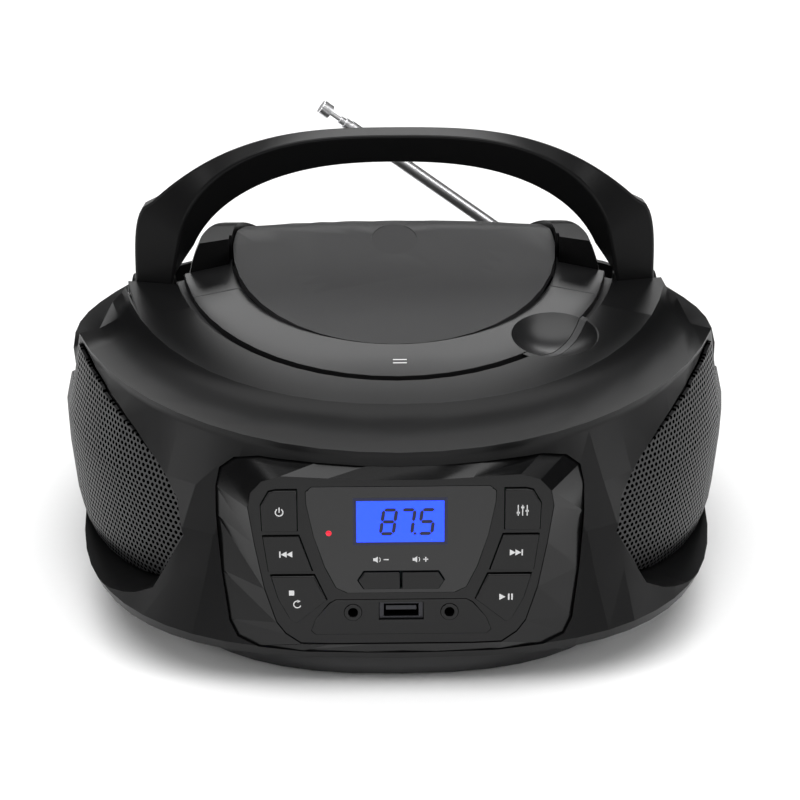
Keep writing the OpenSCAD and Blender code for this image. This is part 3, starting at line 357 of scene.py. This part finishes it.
def adopt(piece, cad_node, mat=None):
    """Let a piece stand for a CAD node: same body, same finish."""
    slot = SLOT_OF[cad_node]
    piece.data.materials.clear()
    piece.data.materials.append(mat or FINISH[slot])
    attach(piece, BODY_OF[cad_node])
    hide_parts(cad_node)
    return piece


def moulded(cad_node, edge_mm, segments=2, join=True, mat=None, sharp=SHARP):
    """A smooth, edge-rounded copy of a CAD node."""
    mesh = frame["nodes"][cad_node].data.copy()
    bm = bmesh.new()
    bm.from_mesh(mesh)
    bmesh.ops.remove_doubles(bm, verts=bm.verts, dist=2e-6)
    if join:
        bmesh.ops.dissolve_limit(bm, angle_limit=math.radians(1.0), verts=bm.verts, edges=bm.edges)
    bm.to_mesh(mesh)
    bm.free()
    if cad_node in SETTLED:
        settle_shoulder(mesh)
    piece = bpy.data.objects.new(cad_node + "_shell", mesh)
    scene.collection.objects.link(piece)
    smooth_edges(mesh, sharp)
    if edge_mm:
        rounding = piece.modifiers.new("edge", "BEVEL")
        rounding.width = edge_mm * MM
        rounding.segments = segments
        rounding.limit_method = "ANGLE"
        rounding.angle_limit = math.radians(40)
        rounding.harden_normals = False
    even = piece.modifiers.new("even", "WEIGHTED_NORMAL")
    even.keep_sharp = True
    return adopt(piece, cad_node, mat)


EDGES = {
    "control_panel": 0.25, "display_window": 0.25, "port_panel": 0.25, "front_bezel": 0.5, "jacks": 0.35,
    "usb_socket": 0.15, "lid_ring": 0.5, "ring_ends": 0.4, "battery_door": 0.3,
    "mains_inlet": 0.3, "rubber_feet": 0.4, "cabinet_screws": 0.2, "antenna_knuckle": 0.25,
    "antenna_tube": 0.15, "antenna_rod": 0.35, "antenna_middle": 0.08, "antenna_inner": 0.06,
    "antenna_bracket": 0.2, "handle_pins": 0.2, "turntable": 0.2, "disc_clamp": 0.2, "laser_sled": 0.2,
    "transformer": 0.3, "main_board": 0.15, "key_board": 0.15, "battery_box": 0.3,
}
OWN = {"front_bezel": BEZEL, "usb_socket": SOCKET}
for cad_node, edge in EDGES.items():
    moulded(cad_node, edge, mat=OWN.get(cad_node))
for cad_node in sorted(name for name in frame["nodes"] if name.endswith("_key")):
    moulded(cad_node, 0.45, 3)
for cad_node in ("upper_cabinet", "lower_cabinet", "base_plate", "lid_panel", "cd_well",
                 "speaker_trim_left", "speaker_trim_right"):
    moulded(cad_node, 0, sharp=math.radians(24))
for side_name in ("left", "right"):
    moulded("grille_" + side_name, 0, join=False, mat=GRILLE[side_name], sharp=math.radians(24))
print("moulded copies made")

# %% [markdown]
# ## The carrying handle
# The real handle is one hollow arch of satin plastic. Its section has four corners that run in four different
# curves: a crisp front edge, the outer edge, a hidden back edge and the inner edge. Lofting quads between those
# curves and rounding the long edges gives nearly the arch of the solid, with the soft edges of a moulding.

# %% Handle curves, in millimetres above the pivot
PIVOT = Vector((0, 9.5, 99.5))
LEG_IN, LEG_OUT, LEG_TOP = 87.7, 104.9, 11.5
RISE, THICK, FRONT = 73.3, 14.0, -2.5


def spow(value, power):
    """A power that keeps the sign."""
    return math.copysign(abs(value) ** power, value)


def arch(half_width, height, exponent, turn):
    return -half_width * spow(math.cos(turn), 2 / exponent), height * math.sin(turn) ** (2 / exponent)


def handle_section(turn):
    """Front, outer, back and inner corner of the arch at one turn."""
    up = math.sin(turn)
    front = arch(LEG_IN - 0.5, RISE - 1, 2.85, turn)
    reach = LEG_OUT * 0.962
    outer_x = -reach * math.cos(turn)
    outer_z = RISE - RISE * 0.47 * (abs(outer_x) / reach) ** 3.1
    inner = arch(LEG_IN - 4, RISE - THICK, 2.32, turn)
    back = PIVOT.y - 1.5
    return [(front[0], FRONT, front[1]),
            (outer_x, FRONT + 9 * up, outer_z),
            (outer_x * 0.985, PIVOT.y + 2.5 - 1.5 * up, outer_z - (THICK - 1) * up * up),
            (inner[0], back - (back - FRONT) * up * up * 0.4, inner[1])]


def leg_section(side, height):
    return [(side * LEG_IN, FRONT, height), (side * LEG_OUT, FRONT, height),
            (side * (LEG_OUT - 0.6), PIVOT.y + 2.5, height), (side * LEG_IN, PIVOT.y - 1.5, height)]


def between(first, second, part):
    return [tuple(a + (b - a) * part for a, b in zip(p, q)) for p, q in zip(first, second)]


STEPS = 72
ARCH = [handle_section(math.radians(20 + 140 * i / STEPS)) for i in range(STEPS + 1)]
LEG_STEPS = 14


def leg_edge(height):
    """Outer face of a leg: nearly upright, then rounding in to meet the arch."""
    if height < 12:
        return LEG_OUT - 2.6 * height / 12
    start = abs(ARCH[0][1][0])
    return start + (LEG_OUT - 2.6 - start) * math.sqrt(max(0.0, 1 - ((height - 12) / (ARCH[0][1][2] - 12)) ** 4))


def eased(section):
    """The same section with its two outer corners on the leg's outer face."""
    points = [list(point) for point in section]
    for k in (1, 2):
        points[k][0] = math.copysign(leg_edge(points[1][2]) - 0.6 * (k - 1), points[k][0])
    return points


def leg_run(side, last):
    """Sections from the foot of a leg up to where the arch starts."""
    foot, top = leg_section(side, 0), leg_section(side, LEG_TOP)
    return [eased(section) for section in [between(foot, top, i / 3) for i in range(4)]
            + [between(top, last, i / LEG_STEPS) for i in range(1, LEG_STEPS)]]


SECTIONS = leg_run(-1, ARCH[0]) + ARCH + leg_run(1, ARCH[-1])[::-1]
print(len(SECTIONS), "sections")


# %% Build the handle
def new_piece(name, bm):
    """Turn a bmesh in millimetres into a piece in metres."""
    bmesh.ops.recalc_face_normals(bm, faces=bm.faces)
    mesh = bpy.data.meshes.new(name)
    bm.to_mesh(mesh)
    bm.free()
    mesh.transform(Matrix.Scale(MM, 4))
    piece = bpy.data.objects.new(name, mesh)
    scene.collection.objects.link(piece)
    return piece


def rounded(piece, width_mm, segments=3, angle=30):
    """Round the real edges of a clean mesh and shade it smooth."""
    smooth_edges(piece.data, math.radians(50))
    edge = piece.modifiers.new("edge", "BEVEL")
    edge.width = width_mm * MM
    edge.segments = segments
    edge.limit_method = "ANGLE"
    edge.angle_limit = math.radians(angle)
    even = piece.modifiers.new("even", "WEIGHTED_NORMAL")
    even.keep_sharp = True
    return piece


def loft(bm, sections):
    """Quads between sections of equal length, closed at both ends."""
    rings = [[bm.verts.new(point) for point in section] for section in sections]
    count = len(rings[0])
    for low, high in zip(rings, rings[1:]):
        for k in range(count):
            bm.faces.new((low[k], low[(k + 1) % count], high[(k + 1) % count], high[k]))
    bm.faces.new(rings[0][::-1])
    bm.faces.new(rings[-1])


bm = bmesh.new()
loft(bm, [[(x, y, z + PIVOT.z) for x, y, z in section] for section in SECTIONS])
HUB_RADIUS, HUB_WIDTH, HUB_SIDES = 10.8, 16.8, 64
for side in (-1, 1):
    place = Matrix.Translation((side * (LEG_IN + 8.5), PIVOT.y, PIVOT.z)) @ Matrix.Rotation(math.pi / 2, 4, "Y")
    bmesh.ops.create_cone(bm, cap_ends=True, segments=HUB_SIDES, radius1=HUB_RADIUS, radius2=HUB_RADIUS,
                          depth=HUB_WIDTH, matrix=place)
handle = adopt(rounded(new_piece("handle_arch", bm), 1.1, 3, 38), "handle")
print("handle", len(handle.data.polygons), "faces")

# %% [markdown]
# ## Printed icons
# The keys carry small white printed signs. Each is drawn as flat outlines in the panel's own axes and given the
# thickness of a coat of ink, so it catches light like print. Only plain signs are used, no words.

# %% Flat signs
INK_THICK = 0.05


def plate(name, outlines, level, body, mat, thick=INK_THICK):
    """Flat outlines at one height above the panel, made into one thin piece."""
    bm = bmesh.new()
    for outline in outlines:
        face = bm.faces.new([bm.verts.new((x, v, level)) for x, v in outline])
        raised = bmesh.ops.extrude_face_region(bm, geom=[face])
        bmesh.ops.translate(bm, vec=(0, 0, thick),
                            verts=[g for g in raised["geom"] if isinstance(g, bmesh.types.BMVert)])
    bmesh.ops.recalc_face_normals(bm, faces=bm.faces)
    mesh = bpy.data.meshes.new(name)
    bm.to_mesh(mesh)
    bm.free()
    mesh.transform(PANEL)
    mesh.materials.append(mat)
    piece = bpy.data.objects.new(name, mesh)
    scene.collection.objects.link(piece)
    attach(piece, body)
    return piece


def bar(x, v, width, height):
    return [(x - width / 2, v - height / 2), (x + width / 2, v - height / 2),
            (x + width / 2, v + height / 2), (x - width / 2, v + height / 2)]


def arrow(x, v, size, way=1):
    """A triangle that points right, or left with way -1."""
    back, tip, half = x - way * size / 2, x + way * size / 2, size * 0.55
    outline = [(back, v - half), (tip, v), (back, v + half)]
    return outline if way > 0 else outline[::-1]


def ring_arc(x, v, radius, width, start, sweep, steps=20):
    """A bent strip along a circle, as a fan of small quads."""
    quads = []
    for i in range(steps):
        a, b = (math.radians(start + sweep * (i + j) / steps) for j in (0, 1))
        inner, outer = radius - width / 2, radius + width / 2
        quads.append([(x + inner * math.cos(a), v + inner * math.sin(a)),
                      (x + outer * math.cos(a), v + outer * math.sin(a)),
                      (x + outer * math.cos(b), v + outer * math.sin(b)),
                      (x + inner * math.cos(b), v + inner * math.sin(b))])
    return quads


KEY_FACE = 1.4
ICONS = {
    "power_key": ring_arc(-43.6, 55.4, 1.35, 0.4, 122, 296) + [bar(-43.6, 56.3, 0.4, 1.9)],
    "previous_key": [arrow(-40.2, 39.4, 2.1, -1), arrow(-42.2, 39.4, 2.1, -1), bar(-43.6, 39.4, 0.5, 2.3)],
    "stop_key": [bar(-39.6, 24.6, 1.9, 1.9)] + ring_arc(-37.6, 20.2, 1.3, 0.38, 60, 280)
    + [arrow(-37.0, 21.4, 1.1)],
    "mode_key": [bar(42.0, 55.4, 0.35, 4.0), bar(43.6, 55.4, 0.35, 4.0), bar(45.2, 55.4, 0.35, 4.0),
                 bar(42.0, 54.5, 1.1, 0.7), bar(43.6, 56.5, 1.1, 0.7), bar(45.2, 55.2, 1.1, 0.7)],
    "next_key": [arrow(40.2, 39.4, 2.1), arrow(42.2, 39.4, 2.1), bar(43.6, 39.4, 0.5, 2.3)],
    "play_key": [arrow(36.6, 22.4, 2.2), bar(38.9, 22.4, 0.55, 2.4), bar(40.1, 22.4, 0.55, 2.4)],
}
for key, outlines in ICONS.items():
    plate(key + "_sign", outlines, KEY_FACE, BODY_OF[key], PRINT)

# %% [markdown]
# ## The mark at the lid's edge
# Two short bars printed on the ring show where to lift the lid. The ring slopes, so they are laid along its slope.

# %% Opening mark
RING_SLOPE, RING_TOP = 0.152, 114.2
for number, y in enumerate((-57.9, -60.1)):
    bm = bmesh.new()
    top = RING_TOP + RING_SLOPE * (y - 19.5) + 0.01
    slope = Matrix.Rotation(math.atan(RING_SLOPE), 4, "X")
    size = Matrix.Diagonal((5.2, 0.6, 0.1, 1))
    bmesh.ops.create_cube(bm, size=1.0, matrix=Matrix.Translation((0.8, y, top)) @ slope @ size)
    mark = new_piece("open_mark_" + str(number), bm)
    mark.data.materials.append(PRINT)
    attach(mark, "lid")
print("opening mark printed")

# %% Volume signs
WINDOW_FACE = 0.3


def small_speaker(x, v):
    """The usual loudspeaker sign: a box, a cone and one sound wave."""
    cone = [(x - 0.8, v - 0.5), (x + 0.2, v - 1.2), (x + 0.2, v + 1.2), (x - 0.8, v + 0.5)]
    return [bar(x - 1.1, v, 0.7, 1.1), cone, *ring_arc(x, v, 1.1, 0.25, -45, 90, 8)]


plate("volume_signs", small_speaker(-8.6, 36.7) + [bar(-5.4, 36.7, 1.8, 0.4)]
      + small_speaker(5.6, 36.7) + [bar(8.9, 36.7, 1.8, 0.4), bar(8.9, 36.7, 0.4, 1.8)],
      WINDOW_FACE, "cabinet", PRINT)
print(len(ICONS) + 1, "signs")

# %% [markdown]
# ## The display
# A liquid crystal display is a blue lit panel behind the window with dark segments. The lit face is a thin
# plate that gives off its own light, so it shows blue whatever the lamps do, and the digits are seven-segment
# shapes with mitred ends, leaning a little. The number is only an example of a tuned frequency.

# %% Lit panel
plate("display_bezel", [bar(-0.25, 51.2, 34.0, 18.0)], WINDOW_FACE, "cabinet", INK, 0.03)
plate("display_lit", [bar(-0.25, 51.2, 31.6, 15.6)], WINDOW_FACE + 0.03, "cabinet", FINISH["lcd_blue"],
      0.03)

# %% Seven-segment digits
DIGIT_H, DIGIT_W, STROKE, LEAN = 9.0, 4.6, 1.3, 0.14
SEGMENTS = {"8": "abcdefg", "7": "abc", "5": "acdfg"}


def segment(letter, x, v):
    """One mitred stroke of a digit whose lower left corner is at x, v."""
    half, gap = STROKE / 2, 0.12
    middle = v + DIGIT_H / 2
    ends = {"a": ((x, v + DIGIT_H), (x + DIGIT_W, v + DIGIT_H)), "g": ((x, middle), (x + DIGIT_W, middle)),
            "d": ((x, v), (x + DIGIT_W, v)), "f": ((x, middle), (x, v + DIGIT_H)), "e": ((x, v), (x, middle)),
            "b": ((x + DIGIT_W, middle), (x + DIGIT_W, v + DIGIT_H)),
            "c": ((x + DIGIT_W, v), (x + DIGIT_W, middle))}
    start, end = (Vector(point) for point in ends[letter])
    along = (end - start).normalized()
    across = Vector((-along.y, along.x)) * half
    start, end = start + along * gap, end - along * gap
    outline = [start, start + along * half - across, end - along * half - across, end,
               end - along * half + across, start + along * half + across]
    return [(p.x + (p.y - v) * LEAN, p.y) for p in outline]


DIGITS_V = 46.6
digits = [segment(s, x, DIGITS_V) for d, x in (("8", -7.4), ("7", -0.8), ("5", 6.4)) for s in SEGMENTS[d]]
digits.append(bar(5.0, DIGITS_V, 0.95, 0.95))
plate("display_digits", digits, WINDOW_FACE + 0.06, "cabinet", INK, 0.02)
print(len(digits), "segments")


# %% Power lamp
def dome(name, x, v, radius, height, body, mat):
    """A shallow lit dome, in the panel's axes."""
    bm = bmesh.new()
    bmesh.ops.create_uvsphere(bm, u_segments=24, v_segments=12, radius=radius)
    bmesh.ops.transform(bm, verts=bm.verts, matrix=Matrix.Translation((x, v, WINDOW_FACE))
                        @ Matrix.Diagonal((1, 1, height / radius, 1)))
    mesh = bpy.data.meshes.new(name)
    bm.to_mesh(mesh)
    bm.free()
    mesh.transform(PANEL)
    mesh.shade_smooth()
    mesh.materials.append(mat)
    piece = bpy.data.objects.new(name, mesh)
    scene.collection.objects.link(piece)
    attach(piece, body)


dome("power_lamp", -26, 46.9, 1.0, 0.25, "cabinet", FINISH["led_red"])

# %% [markdown]
# ## Solids that keep their own mesh
# The pieces deep inside, such as the motors and rails, are right as they are, so they only get their finish.

# %% Finishes on the remaining solids
for cad_node, solid in frame["nodes"].items():
    if not solid.hide_render:
        solid.data.materials.clear()
        solid.data.materials.append(FINISH[SLOT_OF[cad_node]])
print("kept", sum(not solid.hide_render for solid in frame["nodes"].values()), "solids")
